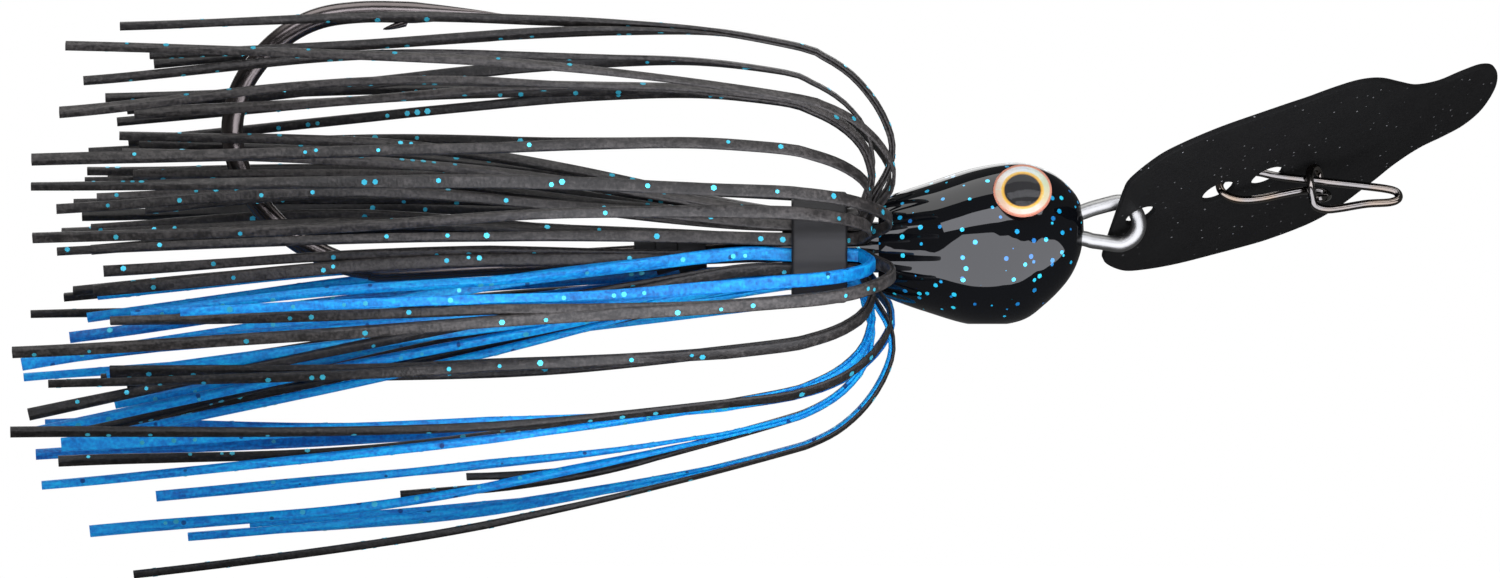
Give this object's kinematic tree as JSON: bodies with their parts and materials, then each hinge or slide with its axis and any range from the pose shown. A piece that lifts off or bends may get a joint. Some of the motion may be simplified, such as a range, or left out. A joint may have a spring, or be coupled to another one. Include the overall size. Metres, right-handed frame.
{
  "type": "bladed swim jig fishing lure",
  "caption": "Fishing lure with a cast lead head, single hook, silicone strand skirt, a swinging bent blade on a nose loop and a wire line clasp.",
  "frame": {"origin": "centre of the small flat under the head's belly", "axes": "+X from the skirt's tips towards the blade, +Z towards the side of the hook's point, +Y to the lure's left"},
  "size_m": [0.1151, 0.0348, 0.044],
  "materials": {
    "head_paint": "gloss black lacquer with fine blue flakes over cast lead",
    "hook_nickel": "dark polished nickel plating",
    "wire_steel": "satin bright steel wire",
    "blade_black": "satin black coating with fine pale speckle",
    "clasp_nickel": "polished dark nickel spring wire",
    "collar_rubber": "smooth matt black rubber",
    "keeper_sleeve": "matt black sleeve",
    "eye_foil": "iridescent foil ring round a printed black pupil",
    "eye_lens": "clear domed resin",
    "skirt_black": "matt black silicone with small cyan flakes",
    "skirt_blue": "translucent blue silicone with cyan and dark flakes"
  },
  "bodies": {
    "jig": {"head": "head_paint", "hook": "hook_nickel", "nose_loop": "wire_steel", "skirt_collar": "collar_rubber", "trailer_keeper": "keeper_sleeve", "left_eye_foil": "eye_foil", "right_eye_foil": "eye_foil", "left_eye_lens": "eye_lens", "right_eye_lens": "eye_lens", "skirt_strand_01": "skirt_black", "skirt_strand_02": "skirt_black", "skirt_strand_03": "skirt_black", "skirt_strand_04": "skirt_black", "skirt_strand_05": "skirt_black", "skirt_strand_06": "skirt_black", "skirt_strand_07": "skirt_blue", "skirt_strand_08": "skirt_blue", "skirt_strand_09": "skirt_blue", "skirt_strand_10": "skirt_black", "skirt_strand_11": "skirt_black", "skirt_strand_12": "skirt_black", "skirt_strand_13": "skirt_black", "skirt_strand_14": "skirt_black", "skirt_strand_15": "skirt_black", "skirt_strand_16": "skirt_black", "skirt_strand_17": "skirt_black", "skirt_strand_18": "skirt_black", "skirt_strand_19": "skirt_black", "skirt_strand_20": "skirt_black", "skirt_strand_21": "skirt_black", "skirt_strand_22": "skirt_black", "skirt_strand_23": "skirt_black", "skirt_strand_24": "skirt_black", "skirt_strand_25": "skirt_blue", "skirt_strand_26": "skirt_blue", "skirt_strand_27": "skirt_black", "skirt_strand_28": "skirt_blue"},
    "blade": {"blade": "blade_black"},
    "clasp": {"line_clasp": "clasp_nickel"}
  },
  "joints": [
    {"name": "blade_swing", "type": "hinge", "parent": "jig", "child": "blade", "pos_m": [0.01169, 0, 0.00841], "axis": [-0.4067, 0, 0.9135], "range_deg": [-56, 12]},
    {"name": "clasp_swing", "type": "hinge", "parent": "blade", "child": "clasp", "pos_m": [0.02009, 0.00301, 0.01099], "axis": [0.16, -0.8509, 0.5004], "range_deg": [-90, 2]}
  ]
}
